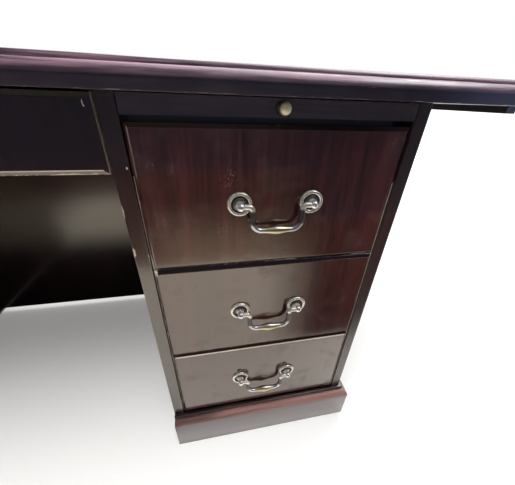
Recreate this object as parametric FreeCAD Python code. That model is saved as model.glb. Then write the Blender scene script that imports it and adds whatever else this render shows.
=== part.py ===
import FreeCAD, Part
import math
import os

from FreeCAD import Vector

# Millimetres. X runs along the desk, the sitter is on the -Y side, Z is up,
# and the origin lies on the floor under the middle of the top.

# Whole desk
top_length = 1829.0
top_depth = 914.0
desk_height = 764.4
end_overhang = 165.0
front_overhang = 30.0
pedestal_width = 405.0
pedestal_depth = 580.0

# Top: a veneered panel framed by mitred, moulded edge lengths
top_thickness = 28.8
edge_width = 64.0
edge_lip = 0.7
edge_round = 11.0
edge_quirk = 0.9
edge_fillet = 5.6
edge_arris = 5.0
cleat_width = 16.0
cleat_thickness = 9.6
cleat_side_gap = 7.0
cleat_end_gap = 46.0
dowel_radius = 5.0
dowel_in_top = 14.0
dowel_in_side = 24.0
dowel_end_gap = 80.0
dowel_count = 3

# Pedestal case
side_thickness = 20.0
back_thickness = 12.0
floor_thickness = 18.0
floor_drop = 9.0
rail_height = 16.0
rail_depth = 45.0
rail_gap = 2.0

# Base moulding round the foot of each pedestal
base_flat = 82.0
base_lip = 0.7
base_round = 12.2
base_quirk = 0.8
base_fillet = 9.0
base_arris = 2.0
base_ledge = 4.3

# Modesty panel housed in the inner sides
modesty_thickness = 18.0
modesty_recess = 36.0
modesty_floor_gap = 20.0
housing_depth = 6.0

# Raised drawer fronts with a bevelled border
front_thickness = 20.0
front_side_gap = 0.7
border_width = 5.5
border_drop = 3.0
border_quirk = 0.8

# Upright stack of fronts; the drawers share the height between base and slide
base_gap = 0.8
drawer_gap = 1.0
top_drawer_extra = 2.4
slide_gap = 6.9
slide_height = 20.9
slide_top_gap = 0.9

# Drawer boxes hung on wooden runners
box_side_thickness = 14.0
box_back_thickness = 12.0
box_bottom_thickness = 5.0
box_side_gap = 2.0
box_rear_gap = 18.0
box_top_margin = 32.0
box_bottom_margin = 14.0
bottom_lift = 8.0
groove_depth = 6.0
runner_height = 16.0
runner_seat = 6.0
run_clearance = 0.3
fit_clearance = 0.15

# Half-blind dovetails between the drawer sides and the fronts
tail_length = 12.0
tail_pitch = 38.0
tail_root_share = 0.5
tail_flare_share = 0.17

# Centre drawer over the kneehole
centre_front_height = 85.0
centre_top_gap = 1.6
centre_side_gap = 3.5
centre_top_margin = 16.0
centre_bottom_margin = 8.0
centre_rear_gap = 24.0

# Writing slides
lipping_thickness = 20.0
slide_board_thickness = 17.0
slide_side_gap = 1.0
slide_rear_gap = 110.0
guide_width = 16.0
guide_height = 14.0

# Slide knob
knob_radius = 8.0
knob_length = 15.0
knob_neck_radius = 4.2
knob_collar_radius = 6.2
knob_collar_thickness = 2.2
knob_dome_height = 7.0
knob_stem_radius = 2.5
knob_stem_length = 14.0

# Bail pulls
pull_spacing = 104.0
pull_height = 101.5
rosette_radius = 17.4
rosette_thickness = 4.2
pull_standoff = 12.5
head_radius = 6.2
neck_radius = 3.4
shoulder_radius = 4.8
shoulder_thickness = 1.6
stud_radius = 2.0
stud_end = 1.5
nut_radius = 4.2
nut_thickness = 3.2
bail_radius = 4.0
bail_tip = 4.0
bail_inset = 16.0
bail_drop = 36.5
bail_elbow = 5.5
bail_corner = 14.5
swell_radius = 6.4
swell_length = 42.0
eye_clearance = 0.05

# Rosette section as (radius, thickness) shares, from rim to boss
rim_start_shares = (1.0, 0.32)
rim_crest_shares = (0.86, 0.98)
rim_end_shares = (0.68, 0.52)
hollow_outer_shares = (0.655, 0.30)
hollow_inner_shares = (0.60, 0.30)
dome_start_shares = (0.57, 0.52)
dome_crest_shares = (0.44, 0.88)
boss_shares = (0.28, 1.0)

# Cuts run past the faces they open by this much
overrun = 5.0
diagonal_share = math.sqrt(0.5)

# Shared places
half_length = top_length / 2
half_depth = top_depth / 2
front_plane = front_overhang - half_depth
rear_plane = front_plane + pedestal_depth
top_underside = desk_height - top_thickness
outer_face = half_length - end_overhang
inner_face = outer_face - pedestal_width
bay = (inner_face + side_thickness, outer_face - side_thickness)
bay_centre = (bay[0] + bay[1]) / 2
back_front = rear_plane - back_thickness
front_back = front_plane + front_thickness
case_box_rear = back_front - box_rear_gap
base_projection = base_round + base_quirk + base_arris + base_ledge
base_height = base_flat + base_round + base_fillet
edge_band = top_thickness - edge_round - edge_fillet
modesty_deep = (rear_plane - modesty_recess - modesty_thickness, rear_plane - modesty_recess)
kneehole = (-inner_face, inner_face)

# Heights of the fronts, from the base up
slide_tall = (top_underside - slide_top_gap - slide_height, top_underside - slide_top_gap)
stack_floor = base_height + base_gap
stack_roof = slide_tall[0] - slide_gap
drawer_height = (stack_roof - stack_floor - 2 * drawer_gap - top_drawer_extra) / 3
lower_tall = (stack_floor, stack_floor + drawer_height)
middle_tall = (lower_tall[1] + drawer_gap, lower_tall[1] + drawer_gap + drawer_height)
top_tall = (middle_tall[1] + drawer_gap, stack_roof)
centre_tall = (top_underside - centre_top_gap - centre_front_height, top_underside - centre_top_gap)
drawer_stack = {"top": top_tall, "middle": middle_tall, "lower": lower_tall}


def block(across, deep, tall):
    low = Vector(across[0], deep[0], tall[0])
    return Part.makeBox(across[1] - across[0], deep[1] - deep[0], tall[1] - tall[0], low)


def rod(start, end, radius):
    run = end - start
    return Part.makeCylinder(radius, run.Length, start, run)


def line(start, end):
    return Part.makeLine(start, end)


def quarter(start, corner, end):
    # Quarter circle whose end tangents meet at the corner
    centre = start + end - corner
    middle = centre + (corner - centre) * diagonal_share
    return Part.Arc(start, middle, end).toShape()


def turned(edges, place):
    # Solid of revolution about the Y axis, its seam turned underneath, moved to its place
    solid = Part.Face(Part.Wire(edges)).revolve(Vector(0, 0, 0), Vector(0, 1, 0), 360)
    solid.rotate(Vector(0, 0, 0), Vector(0, 1, 0), 90)
    solid.translate(place)
    return solid


def mirrored(shape, side):
    if side > 0:
        return shape
    return shape.mirror(Vector(0, 0, 0), Vector(1, 0, 0))


def group(solids):
    return Part.makeCompound(solids)


def moulding_section(band, lip, bulge, quirk, fillet, arris, width):
    # Upright section in the YZ plane, body towards +Y. A round lips over the flat band;
    # behind it a quirk and a fillet with a rounded arris lead to the top.
    height = band + bulge + fillet
    foot = Vector(0, lip, 0)
    band_top = Vector(0, lip, band)
    spring = Vector(0, 0, band)
    crown = Vector(0, bulge, band + bulge)
    step = Vector(0, bulge + quirk, band + bulge)
    neck = Vector(0, bulge + quirk, height - arris)
    brow = Vector(0, bulge + quirk + arris, height)
    inner_top = Vector(0, width, height)
    inner_foot = Vector(0, width, 0)
    return Part.Face(Part.Wire([
        line(foot, band_top),
        line(band_top, spring),
        quarter(spring, Vector(0, 0, band + bulge), crown),
        line(crown, step),
        line(step, neck),
        quarter(neck, Vector(0, bulge + quirk, height), brow),
        line(brow, inner_top),
        line(inner_top, inner_foot),
        line(inner_foot, foot),
    ]))


def moulded_length(section, length, width, height, mitre_start, mitre_end):
    # Length along +X, cut at 45 degrees where an end is mitred
    bar = section.extrude(Vector(length, 0, 0))
    far_start = width * mitre_start
    far_end = length - width * mitre_end
    footprint = Part.makePolygon([
        Vector(0, 0, 0),
        Vector(length, 0, 0),
        Vector(far_end, width, 0),
        Vector(far_start, width, 0),
        Vector(0, 0, 0),
    ])
    return bar.common(Part.Face(footprint).extrude(Vector(0, 0, height)))


def placed(shape, turn, corner):
    shape.rotate(Vector(0, 0, 0), Vector(0, 0, 1), turn)
    shape.translate(corner)
    return shape


# Top

def dowel_places():
    reach = pedestal_depth - 2 * dowel_end_gap
    panel_lines = [inner_face + side_thickness / 2, outer_face - side_thickness / 2]
    places = []
    for sign in (-1, 1):
        for x in panel_lines:
            for i in range(dowel_count):
                y = front_plane + dowel_end_gap + reach * i / (dowel_count - 1)
                places.append(Vector(sign * x, y, top_underside))
    return places


def dowel(place, clearance):
    up = Vector(0, 0, dowel_in_top + clearance)
    down = Vector(0, 0, dowel_in_side + clearance)
    return rod(place - down, place + up, dowel_radius + clearance)


def top_dowels():
    return group([dowel(place, 0) for place in dowel_places()])


def dowel_holes():
    return group([dowel(place, fit_clearance) for place in dowel_places()])


def top_panel():
    across = (edge_width - half_length, half_length - edge_width)
    deep = (edge_width - half_depth, half_depth - edge_width)
    return block(across, deep, (top_underside, desk_height)).cut(dowel_holes())


def top_edge():
    section = moulding_section(
        edge_band, edge_lip, edge_round, edge_quirk, edge_fillet, edge_arris, edge_width,
    )
    runs = [
        (top_length, 0, Vector(-half_length, -half_depth, top_underside)),
        (top_depth, 90, Vector(half_length, -half_depth, top_underside)),
        (top_length, 180, Vector(half_length, half_depth, top_underside)),
        (top_depth, 270, Vector(-half_length, half_depth, top_underside)),
    ]
    lengths = []
    for length, turn, corner in runs:
        bar = moulded_length(section, length, edge_width, top_thickness, 1, 1)
        lengths.append(placed(bar, turn, corner))
    return group(lengths)


def end_cleats():
    outer = half_length - cleat_side_gap
    deep = (cleat_end_gap - half_depth, half_depth - cleat_end_gap)
    tall = (top_underside - cleat_thickness, top_underside)
    right = block((outer - cleat_width, outer), deep, tall)
    return group([right, mirrored(right, -1)])


# Pedestal case, drawn for the right-hand pedestal

def inner_side():
    across = (inner_face, inner_face + side_thickness)
    panel = block(across, (front_plane, rear_plane), (0, top_underside))
    housing = block(
        (inner_face - overrun, inner_face + housing_depth),
        (modesty_deep[0] - fit_clearance, modesty_deep[1] + fit_clearance),
        (modesty_floor_gap - fit_clearance, top_underside + overrun),
    )
    return panel.cut(housing).cut(dowel_holes())


def outer_side():
    across = (outer_face - side_thickness, outer_face)
    return block(across, (front_plane, rear_plane), (0, top_underside)).cut(dowel_holes())


def back_panel():
    return block(bay, (back_front, rear_plane), (0, top_underside))


def floor_panel():
    floor_top = base_height - floor_drop
    return block(bay, (front_plane, back_front), (floor_top - floor_thickness, floor_top))


def base_moulding():
    section = moulding_section(
        base_flat, base_lip, base_round, base_quirk, base_fillet, base_arris, base_projection,
    )
    front_length = pedestal_width + base_projection
    side_length = pedestal_depth + 2 * base_projection
    outer = outer_face + base_projection
    front_y = front_plane - base_projection
    rear_y = rear_plane + base_projection
    runs = [
        (front_length, 0, 1, 0, Vector(inner_face, front_y, 0)),
        (side_length, 1, 1, 90, Vector(outer, front_y, 0)),
        (front_length, 1, 0, 180, Vector(outer, rear_y, 0)),
    ]
    lengths = []
    for length, start, end, turn, corner in runs:
        bar = moulded_length(section, length, base_projection, base_height, start, end)
        lengths.append(placed(bar, turn, corner))
    return group(lengths)


def drawer_rails():
    deep = (front_back + rail_gap, front_back + rail_gap + rail_depth)
    rails = []
    for lower, upper in ((lower_tall, middle_tall), (middle_tall, top_tall)):
        middle = (lower[1] + upper[0]) / 2
        rails.append(block(bay, deep, (middle - rail_height / 2, middle + rail_height / 2)))
    slide_seat = slide_tall[0] - run_clearance
    rails.append(block(bay, deep, (slide_seat - rail_height, slide_seat)))
    return group(rails)


def box_tall(tall, bottom_margin, top_margin):
    return (tall[0] + bottom_margin, tall[1] - top_margin)


def runner_tall(box):
    middle = (box[0] + box[1]) / 2
    return (middle - runner_height / 2, middle + runner_height / 2)


def runner_pair(opening, side_gap, rear, box):
    deep = (front_back + rail_gap, rear)
    reach = side_gap + runner_seat
    tall = runner_tall(box)
    low_side = block((opening[0], opening[0] + reach), deep, tall)
    high_side = block((opening[1] - reach, opening[1]), deep, tall)
    return [low_side, high_side]


def drawer_runners():
    solids = []
    for tall in drawer_stack.values():
        box = box_tall(tall, box_bottom_margin, box_top_margin)
        solids += runner_pair(bay, box_side_gap, back_front, box)
    guide_top = slide_tall[0] - run_clearance
    guide_deep = (front_back + rail_gap + rail_depth, back_front)
    guide_tall = (guide_top - guide_height, guide_top)
    solids.append(block((bay[0], bay[0] + guide_width), guide_deep, guide_tall))
    solids.append(block((bay[1] - guide_width, bay[1]), guide_deep, guide_tall))
    return group(solids)


def modesty_panel():
    reach = inner_face + housing_depth - fit_clearance
    return block((-reach, reach), modesty_deep, (modesty_floor_gap, top_underside))


# Drawers

def rectangle(across, y, tall):
    return Part.makePolygon([
        Vector(across[0], y, tall[0]),
        Vector(across[1], y, tall[0]),
        Vector(across[1], y, tall[1]),
        Vector(across[0], y, tall[1]),
        Vector(across[0], y, tall[0]),
    ])


def inset(span, amount):
    return (span[0] + amount, span[1] - amount)


def raised_front(across, tall):
    brow = front_plane + border_quirk
    rim = brow + border_drop
    field_across = inset(across, border_width)
    field_tall = inset(tall, border_width)
    slab = block(across, (rim, front_back), tall)
    sections = [rectangle(across, rim, tall), rectangle(field_across, brow, field_tall)]
    bevel = Part.makeLoft(sections, True, True)
    field = block(field_across, (front_plane, brow), field_tall)
    return slab.fuse([bevel, field]).removeSplitter()


def bottom_tall(box):
    low = box[0] + bottom_lift
    return (low, low + box_bottom_thickness)


def bottom_groove(opening, side_gap, box):
    # Space for the bottom in the sides and the front, open towards the rear
    reach = side_gap + box_side_thickness - groove_depth
    across = inset(opening, reach)
    return across, inset(bottom_tall(box), -fit_clearance)


def dovetails(across, box):
    # Tails of one drawer side, wider towards their ends in the front
    height = box[1] - box[0]
    count = max(2, round(height / tail_pitch))
    pitch = height / count
    root = pitch * tail_root_share / 2
    tip = root + tail_length * tail_flare_share
    tip_y = front_back - tail_length
    tails = []
    for i in range(count):
        middle = box[0] + pitch / 2 + pitch * i
        outline = Part.makePolygon([
            Vector(across[0], front_back, middle - root),
            Vector(across[0], tip_y, middle - tip),
            Vector(across[0], tip_y, middle + tip),
            Vector(across[0], front_back, middle + root),
            Vector(across[0], front_back, middle - root),
        ])
        tails.append(Part.Face(outline).extrude(Vector(across[1] - across[0], 0, 0)))
    return tails


def drawer_front(opening, side_gap, front_gap, tall, box):
    inner = inset(opening, side_gap + box_side_thickness)
    across, groove = bottom_groove(opening, side_gap, box)
    cuts = [block(across, (front_back - groove_depth, front_back + overrun), groove)]
    cuts += dovetails((opening[0], inner[0]), box)
    cuts += dovetails((inner[1], opening[1]), box)
    return raised_front(inset(opening, front_gap), tall).cut(cuts)


def drawer_box(opening, side_gap, rear, box):
    outer = inset(opening, side_gap)
    inner = inset(outer, box_side_thickness)
    across, groove = bottom_groove(opening, side_gap, box)
    bottom_space = block(across, (front_back - groove_depth, rear + overrun), groove)
    track = inset(runner_tall(box), -run_clearance)
    track_deep = (front_back, rear + overrun)
    seat = runner_seat + run_clearance
    low_track = block((outer[0] - overrun, outer[0] + seat), track_deep, track)
    high_track = block((outer[1] - seat, outer[1] + overrun), track_deep, track)
    sides = []
    for span, side_track in (((outer[0], inner[0]), low_track), ((inner[1], outer[1]), high_track)):
        side = block(span, (front_back, rear), box).fuse(dovetails(span, box)).removeSplitter()
        sides.append(side.cut([side_track, bottom_space]))
    back = block(inner, (rear - box_back_thickness, rear), (groove[1], box[1]))
    return group(sides + [back])


def drawer_bottom(opening, side_gap, rear, box):
    across, groove = bottom_groove(opening, side_gap, box)
    deep = (front_back - groove_depth + fit_clearance, rear)
    return block(inset(across, fit_clearance), deep, bottom_tall(box))


# Bail pulls

def section_point(shares):
    return Vector(rosette_radius * shares[0], -rosette_thickness * shares[1], 0)


def rosette(place):
    bore = stud_radius + fit_clearance
    inner_back = Vector(bore, 0, 0)
    rim_back = Vector(rosette_radius, 0, 0)
    rim_start = section_point(rim_start_shares)
    rim_end = section_point(rim_end_shares)
    hollow_outer = section_point(hollow_outer_shares)
    hollow_inner = section_point(hollow_inner_shares)
    dome_start = section_point(dome_start_shares)
    boss = section_point(boss_shares)
    bore_top = Vector(bore, boss.y, 0)
    edges = [
        line(inner_back, rim_back),
        line(rim_back, rim_start),
        Part.Arc(rim_start, section_point(rim_crest_shares), rim_end).toShape(),
        line(rim_end, hollow_outer),
        line(hollow_outer, hollow_inner),
        line(hollow_inner, dome_start),
        Part.Arc(dome_start, section_point(dome_crest_shares), boss).toShape(),
        line(boss, bore_top),
        line(bore_top, inner_back),
    ]
    return turned(edges, place)


def post(place):
    # Stud through the front, shoulder on the rosette, ball head with an eye for the bail
    stud_back = front_thickness + nut_thickness + stud_end
    shoulder_front = -rosette_thickness - shoulder_thickness
    ball_back = math.sqrt(head_radius ** 2 - neck_radius ** 2) - pull_standoff
    back_centre = Vector(0, stud_back, 0)
    back_rim = Vector(stud_radius, stud_back, 0)
    stud_root = Vector(stud_radius, -rosette_thickness, 0)
    shoulder_rim = Vector(shoulder_radius, -rosette_thickness, 0)
    shoulder_top = Vector(shoulder_radius, shoulder_front, 0)
    neck_foot = Vector(neck_radius, shoulder_front, 0)
    neck_top = Vector(neck_radius, ball_back, 0)
    equator = Vector(head_radius, -pull_standoff, 0)
    pole = Vector(0, -pull_standoff - head_radius, 0)
    edges = [
        line(back_centre, back_rim),
        line(back_rim, stud_root),
        line(stud_root, shoulder_rim),
        line(shoulder_rim, shoulder_top),
        line(shoulder_top, neck_foot),
        line(neck_foot, neck_top),
        Part.Arc(neck_top, equator, pole).toShape(),
        line(pole, back_centre),
    ]
    head = place - Vector(0, pull_standoff, 0)
    eye_reach = Vector(head_radius + overrun, 0, 0)
    eye = rod(head - eye_reach, head + eye_reach, bail_radius + eye_clearance)
    return turned(edges, place).cut(eye)


def nut(place):
    inside = place + Vector(0, front_thickness, 0)
    corners = []
    for i in range(7):
        angle = math.radians(60 * i)
        corners.append(inside + Vector(math.cos(angle), 0, math.sin(angle)) * nut_radius)
    prism = Part.Face(Part.makePolygon(corners)).extrude(Vector(0, nut_thickness, 0))
    end = inside + Vector(0, nut_thickness, 0)
    return prism.cut(rod(inside, end, stud_radius + eye_clearance))


def pull_places(tall):
    half = pull_spacing / 2
    z = tall[0] + pull_height
    return [Vector(bay_centre + sign * half, front_plane, z) for sign in (-1, 1)]


def pull_posts(tall):
    solids = []
    for place in pull_places(tall):
        solids += [rosette(place), post(place), nut(place)]
    return group(solids)


def stud_holes(tall):
    holes = []
    for place in pull_places(tall):
        start = place - Vector(0, overrun, 0)
        end = place + Vector(0, front_thickness + overrun, 0)
        holes.append(rod(start, end, stud_radius + fit_clearance))
    return group(holes)


def bail_arm():
    # From the tip in the eye, inwards along the axis, down the leg and round to the grip
    half = pull_spacing / 2
    leg_x = bail_inset - half
    tip = Vector(-half - bail_tip, 0, 0)
    elbow_in = Vector(leg_x - bail_elbow, 0, 0)
    elbow_out = Vector(leg_x, 0, -bail_elbow)
    corner_in = Vector(leg_x, 0, bail_corner - bail_drop)
    corner_out = Vector(leg_x + bail_corner, 0, -bail_drop)
    path = Part.Wire([
        line(tip, elbow_in),
        quarter(elbow_in, Vector(leg_x, 0, 0), elbow_out),
        line(elbow_out, corner_in),
        quarter(corner_in, Vector(leg_x, 0, -bail_drop), corner_out),
    ])
    ring = Part.Wire(Part.makeCircle(bail_radius, tip, Vector(1, 0, 0)))
    return path.makePipeShell([ring], True, False), corner_out


def bail_grip(end):
    # Grip between the arms, swelling smoothly to its middle
    level = end.z
    swell_start = Vector(-swell_length / 2, 0, level + bail_radius)
    swell_end = Vector(swell_length / 2, 0, level + bail_radius)
    crest = Vector(0, 0, level + swell_radius)
    along = Vector(1, 0, 0)
    curve = Part.BSplineCurve()
    curve.interpolate([swell_start, crest, swell_end], InitialTangent=along, FinalTangent=along)
    rim_start = Vector(end.x, 0, level + bail_radius)
    rim_end = Vector(-end.x, 0, level + bail_radius)
    axis_end = Vector(-end.x, 0, level)
    section = Part.Face(Part.Wire([
        line(end, rim_start),
        line(rim_start, swell_start),
        curve.toShape(),
        line(swell_end, rim_end),
        line(rim_end, axis_end),
        line(axis_end, end),
    ]))
    return section.revolve(end, along, 360)


def pull_bail(tall):
    arm, end = bail_arm()
    bail = arm.fuse([mirrored(arm, -1), bail_grip(end)]).removeSplitter()
    bail.translate(Vector(bay_centre, front_plane - pull_standoff, tall[0] + pull_height))
    return bail


# Writing slide

def knob_place():
    return Vector(bay_centre, front_plane, (slide_tall[0] + slide_tall[1]) / 2)


def slide_lipping():
    across = inset(bay, slide_side_gap)
    strip = block(across, (front_plane, front_plane + lipping_thickness), slide_tall)
    end = knob_place() + Vector(0, knob_stem_length + fit_clearance, 0)
    start = knob_place() - Vector(0, overrun, 0)
    return strip.cut(rod(start, end, knob_stem_radius + fit_clearance))


def slide_board():
    across = inset(bay, slide_side_gap)
    deep = (front_plane + lipping_thickness, back_front - slide_rear_gap)
    return block(across, deep, (slide_tall[0], slide_tall[0] + slide_board_thickness))


def slide_knob():
    # Stem in the lipping, flat collar, waisted neck and a face that is a spherical cap
    dome_foot = knob_dome_height - knob_length
    stem_end = Vector(0, knob_stem_length, 0)
    stem_rim = Vector(knob_stem_radius, knob_stem_length, 0)
    stem_root = Vector(knob_stem_radius, 0, 0)
    collar_back = Vector(knob_collar_radius, 0, 0)
    collar_front = Vector(knob_collar_radius, -knob_collar_thickness, 0)
    waist = Vector(knob_neck_radius, (dome_foot - knob_collar_thickness) / 2, 0)
    dome_rim = Vector(knob_radius, dome_foot, 0)
    cap_radius = (knob_radius ** 2 + knob_dome_height ** 2) / (2 * knob_dome_height)
    half_sweep = math.asin(knob_radius / cap_radius) / 2
    cap_centre = Vector(0, cap_radius - knob_length, 0)
    dome_mid = cap_centre + Vector(math.sin(half_sweep), -math.cos(half_sweep), 0) * cap_radius
    dome_top = Vector(0, -knob_length, 0)
    edges = [
        line(stem_end, stem_rim),
        line(stem_rim, stem_root),
        line(stem_root, collar_back),
        line(collar_back, collar_front),
        Part.Arc(collar_front, waist, dome_rim).toShape(),
        Part.Arc(dome_rim, dome_mid, dome_top).toShape(),
        line(dome_top, stem_end),
    ]
    return turned(edges, knob_place())


# Assembly

def pedestal_nodes():
    nodes = {
        "inner_side": inner_side(),
        "outer_side": outer_side(),
        "back_panel": back_panel(),
        "floor_panel": floor_panel(),
        "base_moulding": base_moulding(),
        "drawer_rails": drawer_rails(),
        "drawer_runners": drawer_runners(),
        "writing_slide_board": slide_board(),
        "writing_slide_lipping": slide_lipping(),
        "writing_slide_knob": slide_knob(),
    }
    for name, tall in drawer_stack.items():
        box = box_tall(tall, box_bottom_margin, box_top_margin)
        front = drawer_front(bay, box_side_gap, front_side_gap, tall, box)
        nodes[name + "_drawer_front"] = front.cut(stud_holes(tall))
        nodes[name + "_drawer_box"] = drawer_box(bay, box_side_gap, case_box_rear, box)
        nodes[name + "_drawer_bottom"] = drawer_bottom(bay, box_side_gap, case_box_rear, box)
        nodes[name + "_drawer_pull_posts"] = pull_posts(tall)
        nodes[name + "_drawer_pull_bail"] = pull_bail(tall)
    return nodes


def centre_nodes():
    rear = modesty_deep[0] - centre_rear_gap
    box = box_tall(centre_tall, centre_bottom_margin, centre_top_margin)
    runners = runner_pair(kneehole, centre_side_gap, modesty_deep[0], box)
    return {
        "centre_drawer_front": drawer_front(kneehole, centre_side_gap, centre_side_gap, centre_tall, box),
        "centre_drawer_box": drawer_box(kneehole, centre_side_gap, rear, box),
        "centre_drawer_bottom": drawer_bottom(kneehole, centre_side_gap, rear, box),
        "centre_drawer_runners": group(runners),
        "modesty_panel": modesty_panel(),
    }


def desk_nodes():
    nodes = {
        "top_panel": top_panel(),
        "top_edge_moulding": top_edge(),
        "top_end_cleats": end_cleats(),
        "top_dowels": top_dowels(),
    }
    nodes.update(centre_nodes())
    for name, shape in pedestal_nodes().items():
        nodes["right_" + name] = mirrored(shape, 1)
        nodes["left_" + name] = mirrored(shape, -1)
    return nodes


os.makedirs("parts", exist_ok=True)
for node, solid in desk_nodes().items():
    solid.exportStep("parts/" + node + ".step")
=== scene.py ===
import bpy
import bmesh
import math
from mathutils import Matrix, Vector


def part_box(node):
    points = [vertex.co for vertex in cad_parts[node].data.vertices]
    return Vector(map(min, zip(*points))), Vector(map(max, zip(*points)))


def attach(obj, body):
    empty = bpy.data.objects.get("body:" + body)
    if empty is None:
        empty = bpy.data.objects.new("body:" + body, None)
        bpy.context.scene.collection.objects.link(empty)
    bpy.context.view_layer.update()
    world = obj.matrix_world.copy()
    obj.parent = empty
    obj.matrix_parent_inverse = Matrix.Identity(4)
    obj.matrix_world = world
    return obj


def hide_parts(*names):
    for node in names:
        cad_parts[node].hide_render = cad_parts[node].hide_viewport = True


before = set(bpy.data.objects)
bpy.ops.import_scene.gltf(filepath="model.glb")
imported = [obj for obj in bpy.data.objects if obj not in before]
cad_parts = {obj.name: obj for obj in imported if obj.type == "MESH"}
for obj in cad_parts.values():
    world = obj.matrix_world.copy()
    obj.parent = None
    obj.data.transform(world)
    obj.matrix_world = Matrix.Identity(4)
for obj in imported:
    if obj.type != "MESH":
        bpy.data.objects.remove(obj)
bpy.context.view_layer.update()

scene = bpy.context.scene
scene.view_settings.view_transform = "Standard"
sides = ("right", "left")
drawerNames = ("top", "middle", "lower")


# Small helpers for shader nodes: a socket given as a value is linked, anything else is set
def addNode(tree, kind, inputs=None, **settings):
    node = tree.nodes.new("ShaderNode" + kind)
    for key, value in settings.items():
        setattr(node, key, value)
    for key, value in (inputs or {}).items():
        if isinstance(value, bpy.types.NodeSocket):
            tree.links.new(value, node.inputs[key])
        else:
            node.inputs[key].default_value = value
    return node


def calc(tree, operation, a, b=0.0, clamp=False):
    return addNode(tree, "Math", {0: a, 1: b}, operation=operation, use_clamp=clamp).outputs[0]


def mixColor(tree, factor, a, b):
    return addNode(tree, "Mix", {0: factor, 6: a, 7: b}, data_type="RGBA").outputs[2]


def remap(tree, value, low, high, toLow=0.0, toHigh=1.0, smooth=True):
    kind = "SMOOTHSTEP" if smooth else "LINEAR"
    ends = {0: value, 1: low, 2: high, 3: toLow, 4: toHigh}
    return addNode(tree, "MapRange", ends, interpolation_type=kind).outputs[0]


def noise(tree, coords, scale, detail=3.0, rough=0.55, twist=0.0):
    values = {"Vector": coords, "Scale": scale, "Detail": detail, "Roughness": rough, "Distortion": twist}
    return addNode(tree, "TexNoise", values).outputs[0]


def stretchCoords(tree, coords, stretch):
    return addNode(tree, "VectorMath", {0: coords, 1: stretch}, operation="MULTIPLY").outputs[0]


def length(tree, vector):
    return addNode(tree, "VectorMath", {0: vector}, operation="LENGTH").outputs["Value"]


def axes(tree, vector):
    return addNode(tree, "SeparateXYZ", {0: vector}).outputs


# A number that is the same all over is set on the shader
def feed(tree, shader, label, value):
    if isinstance(value, float):
        shader.inputs[label].default_value = value
    else:
        tree.links.new(value, shader.inputs[label])


def rgb(red, green, blue):
    return (red, green, blue, 1.0)


def newGroup(name, inputs, outputs):
    tree = bpy.data.node_groups.new(name, "ShaderNodeTree")
    kinds = {"value": "NodeSocketFloat", "vector": "NodeSocketVector", "color": "NodeSocketColor"}
    for label, kind, value in inputs:
        socket = tree.interface.new_socket(label, in_out="INPUT", socket_type=kinds[kind])
        socket.default_value = value
    for label, kind in outputs:
        tree.interface.new_socket(label, in_out="OUTPUT", socket_type=kinds[kind])
    entry = tree.nodes.new("NodeGroupInput")
    leave = tree.nodes.new("NodeGroupOutput")
    return tree, entry.outputs, leave.inputs


def useGroup(tree, group, inputs):
    return addNode(tree, "Group", inputs, node_tree=group).outputs


# Noise values are scale, detail, roughness and twist; a span is where a mask begins and where it is full
wearLook = {"soft": 0.0004, "bareFrom": 0.72, "bareShare": 0.4}


# The noise value from which a patch is worn: lower where more is bare
def wornFrom(tree, bare):
    return calc(tree, "SUBTRACT", wearLook["bareFrom"], calc(tree, "MULTIPLY", bare, wearLook["bareShare"]))


# Full where off is less than width, with a soft limit
def within(tree, width, off, soft=wearLook["soft"]):
    return calc(tree, "DIVIDE", calc(tree, "SUBTRACT", width, off), soft, True)


# How far a point lies from Place, with Size as the unit
def shareFrom(tree, given):
    off = addNode(tree, "VectorMath", {0: given["Coords"], 1: given["Place"]}, operation="SUBTRACT")
    share = addNode(tree, "VectorMath", {0: off.outputs[0], 1: given["Size"]}, operation="DIVIDE")
    return length(tree, share.outputs[0])


# Grain: long ribbons, fine fibres and short pores, stretched along the board
grainLook = {
    "ribbon": (34.0, 3.0, 0.5, 0.7), "fibre": (230.0, 4.0, 0.65), "pores": (900.0, 2.0, 0.6),
    "ribbonShare": 0.5, "fibreShare": 0.5, "streakSpan": (0.36, 0.66),
    "poreSpan": (0.58, 0.70), "poreDark": 0.5,
}


def makeGrainGroup():
    tree, given, out = newGroup("boardGrain", [
        ("Coords", "vector", (0, 0, 0)),
        ("Stretch", "vector", (1, 1, 0.05)),
        ("Dark", "color", rgb(0.02, 0.01, 0.01)),
        ("Light", "color", rgb(0.06, 0.03, 0.02)),
        ("Figure", "value", 1.0),
    ], [("Color", "color"), ("Fibre", "value"), ("Pores", "value")])
    along = stretchCoords(tree, given["Coords"], given["Stretch"])
    ribbon = noise(tree, along, *grainLook["ribbon"])
    fibre = noise(tree, along, *grainLook["fibre"])
    pores = remap(tree, noise(tree, along, *grainLook["pores"]), *grainLook["poreSpan"])
    mixed = calc(tree, "ADD", calc(tree, "MULTIPLY", ribbon, grainLook["ribbonShare"]),
                 calc(tree, "MULTIPLY", fibre, grainLook["fibreShare"]))
    streak = calc(tree, "MULTIPLY", remap(tree, mixed, *grainLook["streakSpan"]), given["Figure"], True)
    board = mixColor(tree, streak, given["Dark"], given["Light"])
    poreColor = mixColor(tree, grainLook["poreDark"], board, given["Dark"])
    tree.links.new(mixColor(tree, pores, board, poreColor), out["Color"])
    tree.links.new(fibre, out["Fibre"])
    tree.links.new(pores, out["Pores"])
    return tree


# Wear on the arrises of a box-shaped board; Size is the board's own size
arrisLook = {"patch": (4.0, 0.62), "reach": 0.16}


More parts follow.
